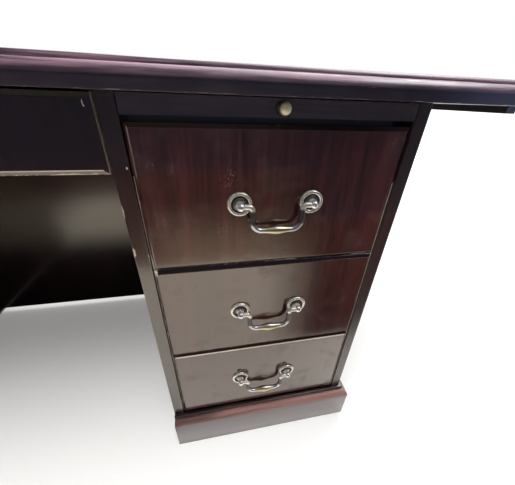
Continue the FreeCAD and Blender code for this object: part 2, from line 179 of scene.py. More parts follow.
def makeArrisGroup():
    tree, given, out = newGroup("arrisWear", [
        ("Generated", "vector", (0, 0, 0)),
        ("Coords", "vector", (0, 0, 0)),
        ("Size", "vector", (1, 1, 1)),
        ("Width", "value", 0.001),
        ("Bare", "value", 0.5),
        ("Patch Scale", "value", 30.0),
    ], [("Wear", "value")])
    split = axes(tree, given["Generated"])
    size = axes(tree, given["Size"])
    near = []
    for axis in range(3):
        far = calc(tree, "SUBTRACT", 1.0, split[axis])
        near.append(calc(tree, "MULTIPLY", calc(tree, "MINIMUM", split[axis], far), size[axis]))
    lowPair = calc(tree, "MINIMUM", near[0], near[1])
    highPair = calc(tree, "MAXIMUM", near[0], near[1])
    edge = calc(tree, "MAXIMUM", lowPair, calc(tree, "MINIMUM", highPair, near[2]))
    bareFrom = wornFrom(tree, given["Bare"])
    patch = noise(tree, given["Coords"], given["Patch Scale"], *arrisLook["patch"])
    reach = remap(tree, patch, bareFrom, calc(tree, "ADD", bareFrom, arrisLook["reach"]))
    tree.links.new(within(tree, calc(tree, "MULTIPLY", given["Width"], reach), edge), out["Wear"])
    return tree


# Wear round a drawer front, with its own width on each of the four sides, and the mask of its bevels, which
# get painted shade
frontWearLook = {
    "patch": (5.0, 0.66), "wornSpan": (0.40, 0.60),
    "ragged": (420.0, 3.0, 0.6), "middle": 0.5, "raggedShare": 0.6,
    "soft": 0.0005, "borderSoft": 0.0008, "line": 0.0010, "lineReach": 0.10, "least": 0.01,
}


def makeFrontWearGroup():
    tree, given, out = newGroup("frontWear", [
        ("Generated", "vector", (0, 0, 0)),
        ("Coords", "vector", (0, 0, 0)),
        ("Across", "value", 0.36),
        ("Deep", "value", 0.02),
        ("Tall", "value", 0.19),
        ("Border", "value", 0.005),
        ("Left", "value", 0.003),
        ("Right", "value", 0.001),
        ("Top", "value", 0.001),
        ("Bottom", "value", 0.001),
        ("Left Solid", "value", 0.0),
        ("Right Solid", "value", 0.0),
        ("Left From", "value", 2.0),
        ("Right From", "value", 2.0),
        ("Arris Rub And Glint", "value", 0.0),
        ("Foot", "value", 0.0),
        ("Inset", "value", 0.0055),
        ("Patch Scale", "value", 30.0),
    ], [("Wear", "value"), ("Bevel", "value")])
    split = axes(tree, given["Generated"])
    patch = noise(tree, given["Coords"], given["Patch Scale"], *frontWearLook["patch"])
    ragged = noise(tree, given["Coords"], *frontWearLook["ragged"])
    ragged = calc(tree, "SUBTRACT", ragged, frontWearLook["middle"])
    reach = calc(tree, "ADD", remap(tree, patch, *frontWearLook["wornSpan"]), ragged)
    ragged = calc(tree, "MULTIPLY", ragged, frontWearLook["raggedShare"])
    edges = {}
    wear = None
    for label, axis, span, far in (("Left", 0, "Across", False), ("Right", 0, "Across", True),
                                   ("Bottom", 2, "Tall", False), ("Top", 2, "Tall", True)):
        share = calc(tree, "SUBTRACT", 1.0, split[axis]) if far else split[axis]
        edge = calc(tree, "MULTIPLY", share, given[span])
        along = reach
        if axis == 0:
            along = calc(tree, "MAXIMUM", reach, calc(tree, "ADD", given[label + " Solid"], ragged))
            along = calc(tree, "MULTIPLY", along, calc(tree, "LESS_THAN", split[2], given[label + " From"]))
        mask = within(tree, calc(tree, "MULTIPLY", given[label], along), edge, frontWearLook["soft"])
        wear = mask if wear is None else calc(tree, "MAXIMUM", wear, mask)
        edges[label] = edge
    # The upper and lower arrises of the raised field are rubbed where a drawer or a hand has caught them; the
    # line on the upper arris is also a painted highlight
    for amount, label in (("Arris Rub And Glint", "Top"), ("Foot", "Bottom")):
        bareFrom = wornFrom(tree, given[amount])
        shown = remap(tree, patch, bareFrom, calc(tree, "ADD", bareFrom, frontWearLook["lineReach"]))
        offArris = calc(tree, "ABSOLUTE", calc(tree, "SUBTRACT", edges[label], given["Inset"]))
        line = within(tree, calc(tree, "MULTIPLY", shown, frontWearLook["line"]), offArris)
        line = calc(tree, "MULTIPLY", line, calc(tree, "GREATER_THAN", given[amount], frontWearLook["least"]))
        for end in ("Left", "Right"):
            line = calc(tree, "MULTIPLY", line, calc(tree, "GREATER_THAN", edges[end], given["Inset"]))
        wear = calc(tree, "MAXIMUM", wear, line)
    behind = calc(tree, "MULTIPLY", split[1], given["Deep"])
    inFront = within(tree, given["Border"], behind, frontWearLook["borderSoft"])
    tree.links.new(calc(tree, "MULTIPLY", wear, inFront), out["Wear"])
    # The bevels above and below the field, up to their mitres, where painted shade darkens the gaps between
    # drawers
    level = calc(tree, "MINIMUM", edges["Top"], edges["Bottom"])
    upright = calc(tree, "MINIMUM", calc(tree, "MINIMUM", edges["Left"], edges["Right"]), given["Inset"])
    tree.links.new(within(tree, upright, level), out["Bevel"])
    return tree


# A rubbed line at one height, broken up along its length
levelLook = {"stretch": (1, 1, 0.3), "patch": (5.0, 0.7), "reach": 0.12}


def makeLevelGroup():
    tree, given, out = newGroup("levelWear", [
        ("Coords", "vector", (0, 0, 0)),
        ("Level", "value", 0.7),
        ("Width", "value", 0.0006),
        ("Bare", "value", 0.5),
        ("Patch Scale", "value", 40.0),
    ], [("Wear", "value")])
    off = calc(tree, "ABSOLUTE", calc(tree, "SUBTRACT", axes(tree, given["Coords"])[2], given["Level"]))
    along = stretchCoords(tree, given["Coords"], levelLook["stretch"])
    patch = noise(tree, along, given["Patch Scale"], *levelLook["patch"])
    bareFrom = wornFrom(tree, given["Bare"])
    reach = remap(tree, patch, bareFrom, calc(tree, "ADD", bareFrom, levelLook["reach"]))
    tree.links.new(within(tree, calc(tree, "MULTIPLY", given["Width"], reach), off), out["Wear"])
    return tree


# A streaky band at one height: rubbed wear with painted sheen on the crown of a moulding, painted shadow on
# the base's ledge
bandLook = {"stretch": (0.2, 0.2, 8), "patch": (4.0, 0.6), "wornSpan": (0.38, 0.60), "least": 0.2}


def makeBandGroup():
    tree, given, out = newGroup("levelBand", [
        ("Coords", "vector", (0, 0, 0)),
        ("Level", "value", 0.7),
        ("Width", "value", 0.006),
        ("Patch Scale", "value", 20.0),
    ], [("Tone", "value")])
    off = calc(tree, "SUBTRACT", axes(tree, given["Coords"])[2], given["Level"])
    off = calc(tree, "DIVIDE", off, given["Width"])
    crown = calc(tree, "SUBTRACT", 1.0, calc(tree, "MULTIPLY", off, off), True)
    along = stretchCoords(tree, given["Coords"], bandLook["stretch"])
    patch = noise(tree, along, given["Patch Scale"], *bandLook["patch"])
    streaks = remap(tree, patch, *bandLook["wornSpan"], bandLook["least"], 1.0)
    tree.links.new(calc(tree, "MULTIPLY", crown, streaks), out["Tone"])
    return tree


# One chip, knocked through to the bare wood
chipLook = {"ragged": (600.0, 3.0, 0.6), "raggedSpan": (0.3, 0.7), "outline": (0.5, 1.3), "soft": 0.2}


def makeChipGroup():
    tree, given, out = newGroup("chip", [
        ("Coords", "vector", (0, 0, 0)),
        ("Place", "vector", (0, 0, 0)),
        ("Size", "vector", (0.002, 0.002, 0.002)),
    ], [("Wear", "value")])
    ragged = noise(tree, given["Coords"], *chipLook["ragged"])
    outline = remap(tree, ragged, *chipLook["raggedSpan"], *chipLook["outline"])
    tree.links.new(within(tree, outline, shareFrom(tree, given), chipLook["soft"]), out["Wear"])
    return tree


# A cloud of pale specks where something has rubbed the lacquer
scuffLook = {"specks": (330.0, 3.0, 0.7), "speckSpan": (0.54, 0.68),
             "cloudSpan": (0.2, 1.0), "strength": 0.36}


def makeScuffGroup():
    tree, given, out = newGroup("scuff", [
        ("Coords", "vector", (0, 0, 0)),
        ("Place", "vector", (0, 0, 0)),
        ("Size", "vector", (0.02, 0.02, 0.02)),
    ], [("Wear", "value")])
    specks = remap(tree, noise(tree, given["Coords"], *scuffLook["specks"]), *scuffLook["speckSpan"])
    cloud = remap(tree, shareFrom(tree, given), *scuffLook["cloudSpan"], scuffLook["strength"], 0.0)
    tree.links.new(calc(tree, "MULTIPLY", cloud, specks), out["Wear"])
    return tree


# Smudges from hands and fine slanting scratches
handlingLook = {
    "smudge": (5.0, 0.6), "smudgeSpan": (0.48, 0.74), "slant": 52, "stretch": (1, 1, 0.02),
    "hair": (520.0, 1.0, 0.5), "hairSpan": (0.70, 0.76), "field": (7.0, 2.0), "fieldSpan": (0.55, 0.75),
}


def makeHandlingGroup():
    tree, given, out = newGroup("handling", [
        ("Coords", "vector", (0, 0, 0)),
        ("Smudge Scale", "value", 14.0),
        ("Scratches", "value", 1.0),
    ], [("Smudge", "value"), ("Scratch", "value")])
    smudge = noise(tree, given["Coords"], given["Smudge Scale"], *handlingLook["smudge"])
    tree.links.new(remap(tree, smudge, *handlingLook["smudgeSpan"]), out["Smudge"])
    slant = math.radians(handlingLook["slant"])
    turned = addNode(tree, "VectorRotate", {"Vector": given["Coords"], "Angle": slant},
                     rotation_type="Y_AXIS").outputs[0]
    hair = noise(tree, stretchCoords(tree, turned, handlingLook["stretch"]), *handlingLook["hair"])
    field = remap(tree, noise(tree, given["Coords"], *handlingLook["field"]), *handlingLook["fieldSpan"])
    lines = calc(tree, "MULTIPLY", remap(tree, hair, *handlingLook["hairSpan"]), field)
    tree.links.new(calc(tree, "MULTIPLY", lines, given["Scratches"], True), out["Scratch"])
    return tree


# Antiqued brass: dark wash left in the hollows, rubbed bright on what stands out
brassLook = {
    "samples": 8, "hollowSpan": (0.45, 0.95), "mottle": (420.0, 4.0, 0.6), "mottleSpan": (0.40, 0.70),
    "washRough": 0.45,
}


def makeBrassGroup():
    tree, given, out = newGroup("agedBrass", [
        ("Coords", "vector", (0, 0, 0)),
        ("Bright", "color", rgb(0.6, 0.5, 0.34)),
        ("Wash", "color", rgb(0.05, 0.04, 0.03)),
        ("Hollow", "value", 0.004),
        ("Spots", "value", 0.3),
        ("Gloss", "value", 0.2),
    ], [("Color", "color"), ("Roughness", "value")])
    hollow = addNode(tree, "AmbientOcclusion", {"Distance": given["Hollow"]}, samples=brassLook["samples"],
                     only_local=True)
    shade = remap(tree, hollow.outputs["AO"], *brassLook["hollowSpan"])
    mottle = remap(tree, noise(tree, given["Coords"], *brassLook["mottle"]), *brassLook["mottleSpan"])
    bright = calc(tree, "SUBTRACT", shade, calc(tree, "MULTIPLY", mottle, given["Spots"]), True)
    tree.links.new(mixColor(tree, bright, given["Wash"], given["Bright"]), out["Color"])
    gloss = remap(tree, bright, 0.0, 1.0, brassLook["washRough"], given["Gloss"], False)
    tree.links.new(gloss, out["Roughness"])
    return tree


boardGrain = makeGrainGroup()
arrisWear = makeArrisGroup()
frontWear = makeFrontWearGroup()
levelWear = makeLevelGroup()
levelBand = makeBandGroup()
chip = makeChipGroup()
scuff = makeScuffGroup()
handling = makeHandlingGroup()
agedBrass = makeBrassGroup()
print("node groups ready")


def newMaterial(name):
    material = bpy.data.materials.new(name)
    material.use_nodes = True
    tree = material.node_tree
    shader = tree.nodes["Principled BSDF"]
    coords = addNode(tree, "TexCoord").outputs
    return material, tree, shader, coords


lacquerLook = {
    "stain": rgb(0.10, 0.035, 0.022), "scratch": rgb(0.16, 0.12, 0.11), "haze": rgb(0.30, 0.23, 0.20),
    "ior": 1.92, "sheen": rgb(1.0, 0.86, 0.66), "coat": 0.6,
    "fibreRise": 0.25, "bumpDeep": 0.0002, "wornRough": 0.35, "bareSpan": (0.3, 0.9),
}


# Dark lacquer over grained wood; each wear is a group, its values and the shade of a tone, or None
def lacquer(name, finish, wears):
    material, tree, shader, coords = newMaterial(name)
    grain = useGroup(tree, boardGrain, {
        "Coords": coords["Object"], "Stretch": finish["stretch"],
        "Dark": finish["dark"], "Light": finish["light"], "Figure": finish["figure"],
    })
    marks = useGroup(tree, handling, {
        "Coords": coords["Object"], "Smudge Scale": finish["smudgeScale"], "Scratches": finish["scratches"],
    })
    wear = rubAndSheen = None
    color = grain["Color"]
    smudge = marks["Smudge"]
    for group, values, shade in wears:
        found = useGroup(tree, group, {key: coords[value] if value in ("Object", "Generated") else value
                                       for key, value in values.items()})
        # A tone band paints its colour at one height: rubbed wear with painted sheen on a crown, painted
        # shadow on the base's ledge
        if shade:
            color = mixColor(tree, found["Tone"], color, finish[shade])
            rubAndSheen = found["Tone"] if shade == "rubAndSheen" else rubAndSheen
            continue
        # The bevels get painted shade for the dark gaps between drawers
        if "Bevel" in found:
            color = mixColor(tree, found["Bevel"], color, finish["bevel"])
            smudge = calc(tree, "SUBTRACT", smudge, found["Bevel"], True)
        wear = found["Wear"] if wear is None else calc(tree, "MAXIMUM", wear, found["Wear"])
    if finish["haze"]:
        color = mixColor(tree, calc(tree, "MULTIPLY", smudge, finish["haze"]), color, lacquerLook["haze"])
    color = mixColor(tree, marks["Scratch"], color, lacquerLook["scratch"])
    rough = finish["rough"]
    if finish["smudge"]:
        rough = remap(tree, smudge, 0.0, 1.0, rough, rough + finish["smudge"], False)
    height = calc(tree, "MULTIPLY", grain["Fibre"], lacquerLook["fibreRise"])
    coat = finish.get("coat", lacquerLook["coat"])
    if "dull" in finish:
        coat = remap(tree, smudge, 0.0, 1.0, coat, coat * (1 - finish["dull"]))
    if rubAndSheen is not None:
        rough = calc(tree, "ADD", rough, calc(tree, "MULTIPLY", rubAndSheen, finish["rubDull"]))
        coat = calc(tree, "MULTIPLY", coat, calc(tree, "SUBTRACT", 1.0, rubAndSheen, True))
    if wear is not None:
        rubbed = mixColor(tree, grain["Fibre"], lacquerLook["stain"], finish["bare"])
        rubbed = mixColor(tree, remap(tree, wear, *lacquerLook["bareSpan"]), rubbed, finish["bare"])
        color = mixColor(tree, wear, color, rubbed)
        rough = calc(tree, "ADD", rough, calc(tree, "MULTIPLY", wear, lacquerLook["wornRough"]))
        height = calc(tree, "SUBTRACT", height, wear)
        coat = calc(tree, "MULTIPLY", coat, calc(tree, "SUBTRACT", 1.0, wear, True))
    bump = addNode(tree, "Bump", {"Height": height, "Strength": finish["bump"],
                                  "Distance": lacquerLook["bumpDeep"]})
    tree.links.new(color, shader.inputs["Base Color"])
    feed(tree, shader, "Roughness", rough)
    feed(tree, shader, "Coat Weight", coat)
    tree.links.new(bump.outputs[0], shader.inputs["Normal"])
    shader.inputs["IOR"].default_value = finish.get("ior", lacquerLook["ior"])
    shader.inputs["Specular Tint"].default_value = finish.get("sheen", lacquerLook["sheen"])
    shader.inputs["Coat Roughness"].default_value = finish["coatRoughness"]
    return material


grainUp = (1.0, 1.0, 0.05)
grainAlongX = (0.05, 1.0, 1.0)
grainAlongY = (1.0, 0.05, 1.0)

frontFinish = {
    "dark": rgb(0.018, 0.005, 0.006), "light": rgb(0.067, 0.017, 0.017), "bare": rgb(0.64, 0.57, 0.50),
    # The bevel colour is painted shade for the gaps between drawers
    "bevel": rgb(0.006, 0.003, 0.004),
    "stretch": grainUp, "figure": 0.9, "rough": 0.12, "coatRoughness": 0.05,
    "smudgeScale": 22.0, "smudge": 0.12, "haze": 0.08, "dull": 0.7, "scratches": 0.6, "bump": 0.15,
}
# A darker copy of the front lacquer for the centre front under the top: painted shade
centreShadedFinish = dict(frontFinish, dark=rgb(0.008, 0.005, 0.006), light=rgb(0.020, 0.009, 0.010),
                    bare=rgb(0.62, 0.50, 0.40), smudge=0.03, haze=0.0)
caseFinish = {
    "dark": rgb(0.010, 0.006, 0.007), "light": rgb(0.026, 0.012, 0.013), "bare": rgb(0.55, 0.47, 0.38),
    "stretch": grainUp, "figure": 0.8, "rough": 0.17, "coatRoughness": 0.09,
    "smudgeScale": 12.0, "smudge": 0.08, "haze": 0.02, "scratches": 0.4, "bump": 0.12,
}
outerFinish = dict(caseFinish, rough=0.28, coatRoughness=0.2, coat=0.3, ior=1.65)
modestyFinish = dict(caseFinish, rough=0.20, coatRoughness=0.14, smudge=0.0, scratches=0.0)
edgeFinish = {
    "dark": rgb(0.008, 0.004, 0.008), "light": rgb(0.024, 0.009, 0.014), "bare": rgb(0.42, 0.31, 0.31),
    # The rub colour is rubbed wear with painted sheen
    "rubAndSheen": rgb(0.135, 0.056, 0.085), "rubDull": 0.25, "sheen": rgb(0.93, 0.94, 1.0),
    "stretch": grainAlongX, "figure": 0.8, "rough": 0.33, "coatRoughness": 0.17,
    "smudgeScale": 18.0, "smudge": 0.10, "haze": 0.02, "scratches": 0.4, "bump": 0.15,
}
cleatFinish = dict(edgeFinish, stretch=grainAlongY,
                   dark=rgb(0.008, 0.005, 0.006), light=rgb(0.02, 0.010, 0.012))
panelFinish = dict(edgeFinish, dark=rgb(0.016, 0.008, 0.008), light=rgb(0.050, 0.019, 0.015),
                   smudge=0.05, scratches=0.6, coat=0.3, ior=1.6)
boardFinish = dict(panelFinish, scratches=0.3)
baseFinish = dict(edgeFinish, dark=rgb(0.030, 0.013, 0.012), light=rgb(0.085, 0.030, 0.026),
                  # The rub colour is rubbed wear with painted sheen
                  bare=rgb(0.50, 0.36, 0.32), rubAndSheen=rgb(0.29, 0.145, 0.13), rough=0.30, coatRoughness=0.20,
                  # The ledge colour is painted shadow under the lowest drawers
                  smudge=0.03, sheen=rgb(1.0, 0.86, 0.78), ledge=rgb(0.003, 0.002, 0.002), ior=1.60)
# A darker, bluer copy of the front lacquer for the slide lipping under the top's overhang: painted shade
slideShadedFinish = dict(frontFinish, stretch=grainAlongX, smudge=0.03, haze=0.0,
                   dark=rgb(0.022, 0.017, 0.023), light=rgb(0.044, 0.031, 0.038))


def boardWear(size, width, bare, patchScale=30.0):
    return (arrisWear, {"Generated": "Generated", "Coords": "Object", "Size": size,
                        "Width": width, "Bare": bare, "Patch Scale": patchScale}, None)


def lineWear(level, width, bare, patchScale):
    return (levelWear, {"Coords": "Object", "Level": level, "Width": width,
                        "Bare": bare, "Patch Scale": patchScale}, None)


def bandTone(level, width, patchScale=20.0, shade="rubAndSheen"):
    return (levelBand, {"Coords": "Object", "Level": level, "Width": width, "Patch Scale": patchScale}, shade)


def chipWear(place, size):
    return (chip, {"Coords": "Object", "Place": place, "Size": size}, None)


def scuffWear(place, size):
    return (scuff, {"Coords": "Object", "Place": place, "Size": size}, None)


def nodeSize(node):
    low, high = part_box(node)
    return Vector(high) - Vector(low)


# Eased copies of the boards: the arrises that hands and cloths have rounded; angles are in degrees
easeLook = {"join": 1e-6, "flat": 0.4, "sharp": 30, "segments": 2, "profile": 0.5, "corner": 0.3}


def easedCopy(node, ease, shortest, body, material, keep=None):
    bm = bmesh.new()
    bm.from_mesh(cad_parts[node].data)
    bmesh.ops.remove_doubles(bm, verts=bm.verts, dist=easeLook["join"])
    bmesh.ops.dissolve_limit(bm, angle_limit=math.radians(easeLook["flat"]), verts=bm.verts, edges=bm.edges)
    sharp = []
    for edge in bm.edges:
        if not edge.is_manifold or edge.calc_length() < shortest:
            continue
        if edge.calc_face_angle_signed() < math.radians(easeLook["sharp"]):
            continue
        if keep is None or keep(edge):
            sharp.append(edge)
    bmesh.ops.bevel(bm, geom=sharp, offset=ease, offset_type="OFFSET", segments=easeLook["segments"],
                    profile=easeLook["profile"], affect="EDGES", clamp_overlap=False)
    bmesh.ops.triangulate(bm, faces=[face for face in bm.faces if len(face.verts) > 4])
    return addPiece(node + "_eased", bm, body, material, [node])


def addPiece(name, bm, body, materials, nodes, smoothAngle=None):
    mesh = bpy.data.meshes.new(name)
    bm.normal_update()
    bm.to_mesh(mesh)
    bm.free()
    piece = bpy.data.objects.new(name, mesh)
    scene.collection.objects.link(piece)
    for material in materials if isinstance(materials, list) else [materials]:
        mesh.materials.append(material)
    if smoothAngle is not None:
        mesh.polygons.foreach_set("use_smooth", [True] * len(mesh.polygons))
        mesh.set_sharp_from_angle(angle=math.radians(smoothAngle))
    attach(piece, body)
    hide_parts(*nodes)
    return piece


def paint(node, material):
    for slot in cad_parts[node].material_slots:
        slot.link = "OBJECT"
        slot.material = material


# Moulding section from its outer foot up: flat band, lipped round, quirk and fillet with a rounded arris
def mouldingSection(look, height, width):
    ease, lip, bulge, arris = look["ease"], look["lip"], look["round"], look["arris"]
    band = height - bulge - look["fillet"]
    corner = ease * easeLook["corner"]
    points = [(lip + ease, 0.0), (lip + corner, corner), (lip, ease), (lip, band)]
    turns = [math.pi / 2 * i / look["steps"] for i in range(look["steps"] + 1)]
    points += [(bulge * (1 - math.cos(turn)), band + bulge * math.sin(turn)) for turn in turns]
    start = bulge + look["quirk"]
    points.append((start, band + bulge))
    shoulder = height - arris
    points += [(start + arris * (1 - math.cos(turn)), shoulder + arris * math.sin(turn)) for turn in turns]
    return points + [(width, height), (width, 0.0)]


# Runs the section along a path; each stop is a place and the way inwards from it
def sweep(section, stops, closed):
    bm = bmesh.new()
    rings = []
    for place, inwards in stops:
        ring = []
        for depth, up in section:
            x, y = (place[axis] + inwards[axis] * depth for axis in range(2))
            ring.append(bm.verts.new((x, y, up + place[2])))
        rings.append(ring)
    count = len(section)
    spans = len(rings) if closed else len(rings) - 1
    for i in range(spans):
        here = rings[i]
        there = rings[(i + 1) % len(rings)]
        for k in range(count):
            face = bm.faces.new((here[k], there[k], there[(k + 1) % count], here[(k + 1) % count]))
            face.material_index = i % 2
    if not closed:
        bm.faces.new(list(reversed(rings[0])))
        bm.faces.new(rings[-1])
    bmesh.ops.recalc_face_normals(bm, faces=bm.faces)
    return bm


# Top
topLook = {
    "lip": 0.0007, "round": 0.011, "quirk": 0.0009, "fillet": 0.0056, "arris": 0.005, "width": 0.064,
    "ease": 0.0008, "steps": 8, "smooth": 35,
    "lowerWear": 0.0004, "lowerBare": 0.6, "lowerPatch": 55.0,
    "lipWear": 0.0010, "lipBare": 0.24, "lipPatch": 110.0, "crown": 0.0095, "crownPatch": 60.0,
}


def buildTop():
    low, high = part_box("top_edge_moulding")
    height = high[2] - low[2]
    spring = high[2] - topLook["round"] - topLook["fillet"]
    section = mouldingSection(topLook, height, topLook["width"])
    stops = [
        ((low[0], low[1], low[2]), (1, 1)),
        ((high[0], low[1], low[2]), (-1, 1)),
        ((high[0], high[1], low[2]), (-1, -1)),
        ((low[0], high[1], low[2]), (1, -1)),
    ]
    wears = [
        lineWear(low[2] + topLook["ease"], topLook["lowerWear"], topLook["lowerBare"], topLook["lowerPatch"]),
        # The crown band is rubbed wear with painted sheen
        bandTone(spring + topLook["crown"], topLook["crown"], topLook["crownPatch"]),
        lineWear(spring, topLook["lipWear"], topLook["lipBare"], topLook["lipPatch"]),
    ]
    alongX = lacquer("edgeLacquerLong", edgeFinish, wears)
    alongY = lacquer("edgeLacquerShort", dict(edgeFinish, stretch=grainAlongY), wears)
    addPiece("top_edge_moulding_eased", sweep(section, stops, True), "desk",
             [alongX, alongY], ["top_edge_moulding"], topLook["smooth"])
    paint("top_panel", lacquer("topPanelLacquer", panelFinish, []))
    paint("top_end_cleats", lacquer("cleatLacquer", cleatFinish, []))


buildTop()
print("top ready")


# Pedestal cases
caseLook = {"ease": 0.0011, "shortest": 0.012, "arris": 0.0016, "bare": 0.40, "patch": 26.0}
modestyLook = {"arris": 0.001, "bare": 0.3}
# Chips seen on the arrises of the right-hand inner side
caseChips = [
    ((0.3450, -0.427, 0.540), (0.0030, 0.003, 0.0090)), ((0.3447, -0.427, 0.601), (0.0014, 0.003, 0.0100)),
    ((0.3612, -0.427, 0.657), (0.0010, 0.003, 0.0016)), ((0.3676, -0.427, 0.648), (0.0024, 0.004, 0.0038)),
]
baseLook = {
    "lip": 0.0007, "round": 0.0122, "quirk": 0.0008, "fillet": 0.009, "arris": 0.002, "ledge": 0.0043,
    "ease": 0.0012, "steps": 8, "smooth": 35, "crown": 0.0100, "ledgeShadowDeep": 0.007,
}


def buildCase(side):
    for panel in ("inner_side", "outer_side"):
        node = side + "_" + panel
        wears = [boardWear(nodeSize(node), caseLook["arris"], caseLook["bare"], caseLook["patch"])]
        if node == "right_inner_side":
            wears += [chipWear(place, size) for place, size in caseChips]
        easedCopy(node, caseLook["ease"], caseLook["shortest"], "desk",
                  lacquer(node + "Lacquer", outerFinish if panel == "outer_side" else caseFinish, wears))
    plain = lacquer(side + "CaseLacquer", caseFinish, [])
    for panel in ("back_panel", "floor_panel", "drawer_rails"):
        paint(side + "_" + panel, plain)


def buildBase(side):
    node = side + "_base_moulding"
    low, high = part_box(node)
    height = high[2] - low[2]
    width = baseLook["round"] + baseLook["quirk"] + baseLook["arris"] + baseLook["ledge"]
    section = mouldingSection(baseLook, height, width)
    inner, outer, way = (low[0], high[0], 1) if side == "right" else (high[0], low[0], -1)
    stops = [
        ((inner, low[1], low[2]), (0, 1)),
        ((outer, low[1], low[2]), (-way, 1)),
        ((outer, high[1], low[2]), (-way, -1)),
        ((inner, high[1], low[2]), (0, -1)),
    ]
    middle = high[2] - baseLook["fillet"] - baseLook["round"] / 2
    # The middle band is rubbed wear with painted sheen; the ledge band is painted shadow under the lowest
    # drawers
    wears = [bandTone(middle, baseLook["crown"]), bandTone(high[2], baseLook["ledgeShadowDeep"], shade="ledge")]
    alongX = lacquer(side + "BaseLacquerLong", baseFinish, wears)
    alongY = lacquer(side + "BaseLacquerShort", dict(baseFinish, stretch=grainAlongY), wears)
    addPiece(node + "_eased", sweep(section, stops, False), "desk",
             [alongX, alongY], [node], baseLook["smooth"])


def buildModesty():
    wear = boardWear(nodeSize("modesty_panel"), modestyLook["arris"], modestyLook["bare"])
    easedCopy("modesty_panel", caseLook["ease"], caseLook["shortest"], "desk",
              lacquer("modestyLacquer", modestyFinish, [wear]))


for side in sides:
    buildCase(side)
    buildBase(side)
buildModesty()
print("cases ready")


# Drawer fronts: the bevelled border gets eased arrises, the joints behind stay sharp
frontLook = {
    "ease": 0.0007, "shortest": 0.03, "borderDeep": 0.006,
    "border": 0.0052, "left": 0.0024, "right": 0.0036, "top": 0.0, "bottom": 0.0016, "patch": 24.0,
    "leftSolid": 0.55, "rightSolid": 0.8, "inset": 0.0055, "foot": 0.0,
    # The arris amounts draw the line on the upper field arris: rubbed wear and a painted highlight
    "arris": {"top": 0.0, "middle": 0.22, "lower": 1.0},
    "leftFrom": {"top": 0.70, "middle": 2.0, "lower": 2.0},
    "rightFrom": {"top": 0.62, "middle": 2.0, "lower": 2.0},
    "chipIn": (0.001, 0.002, 0.003), "cornerChip": (0.0048, 0.005, 0.0095),
}
centreLook = {
    "border": 0.012, "left": 0.001, "right": 0.0014, "top": 0.0, "bottom": 0.0022, "patch": 16.0,
    "leftSolid": 0.0, "rightSolid": 0.5, "inset": 0.0055, "foot": 1.0,
    "arris": {"centre": 0.0}, "leftFrom": {"centre": 2.0}, "rightFrom": {"centre": 2.0},
}
# A painted highlight on the centre front's right arris, drawn as a chip, and scuffs seen on the fronts: place
# and size
frontGlintChips = {"centre_drawer_front": [((0.3332, -0.430, 0.7235), (0.0012, 0.005, 0.0055))]}
frontScuffs = {
    "right_top_drawer_front": [
        ((0.482, -0.431, 0.642), (0.022, 0.01, 0.026)), ((0.468, -0.431, 0.567), (0.026, 0.01, 0.026)),
        ((0.519, -0.431, 0.552), (0.026, 0.01, 0.018)),
    ],
}


def buildFront(name, body, finish, look):
    node = body + "_front"
    low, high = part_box(node)
    size = nodeSize(node)
    wear = (frontWear, {
        "Generated": "Generated", "Coords": "Object", "Across": size[0], "Deep": size[1], "Tall": size[2],
        "Border": look["border"],
        "Left": look["left"], "Right": look["right"], "Top": look["top"], "Bottom": look["bottom"],
        "Left Solid": look["leftSolid"], "Right Solid": look["rightSolid"],
        "Left From": look["leftFrom"][name], "Right From": look["rightFrom"][name],
        "Arris Rub And Glint": look["arris"][name], "Foot": look["foot"], "Inset": look["inset"],
        "Patch Scale": look["patch"],
    }, None)
    border = low[1] + frontLook["borderDeep"]
    wears = [wear]
    # The upper left corner of this front is knocked off
    if node == "right_middle_drawer_front":
        across, deep, down = look["chipIn"]
        wears.append(chipWear((low[0] + across, low[1] + deep, high[2] - down), look["cornerChip"]))
    # Painted highlights, drawn as chips
    wears += [chipWear(place, spread) for place, spread in frontGlintChips.get(node, [])]
    wears += [scuffWear(place, spread) for place, spread in frontScuffs.get(node, [])]
    easedCopy(node, frontLook["ease"], frontLook["shortest"], body,
              lacquer(node + "Lacquer", finish, wears),
              lambda edge: all(vert.co.y < border for vert in edge.verts))


for side in sides:
    for name in drawerNames:
        buildFront(name, side + "_" + name + "_drawer", frontFinish, frontLook)
buildFront("centre", "centre_drawer", centreShadedFinish, centreLook)
print("drawer fronts ready")


# Bare wood inside the drawers
bareLook = {"figure": 1.0, "smudgeScale": 9.0, "scratches": 0.2, "smudge": 0.35, "poreRough": 0.15,
            "bump": 0.3, "bumpDeep": 0.0003}
drawerWoodLook = {"dark": rgb(0.30, 0.19, 0.10), "light": rgb(0.50, 0.36, 0.22), "rough": 0.5}
bottomLook = {"dark": rgb(0.27, 0.17, 0.095), "light": rgb(0.36, 0.24, 0.14), "rough": 0.6}


def bareWood(name, look, stretch):
    material, tree, shader, coords = newMaterial(name)
    grain = useGroup(tree, boardGrain, {"Coords": coords["Object"], "Stretch": stretch, "Dark": look["dark"],
                                        "Light": look["light"], "Figure": bareLook["figure"]})
    marks = useGroup(tree, handling, {"Coords": coords["Object"], "Smudge Scale": bareLook["smudgeScale"],
                                      "Scratches": bareLook["scratches"]})
    smudge = calc(tree, "MULTIPLY", marks["Smudge"], bareLook["smudge"])
    bump = addNode(tree, "Bump", {"Height": grain["Fibre"], "Strength": bareLook["bump"],
                                  "Distance": bareLook["bumpDeep"]})
    tree.links.new(mixColor(tree, smudge, grain["Color"], look["dark"]), shader.inputs["Base Color"])
    rough = remap(tree, grain["Pores"], 0.0, 1.0, look["rough"], look["rough"] + bareLook["poreRough"])
    tree.links.new(rough, shader.inputs["Roughness"])
    tree.links.new(bump.outputs[0], shader.inputs["Normal"])
    return material


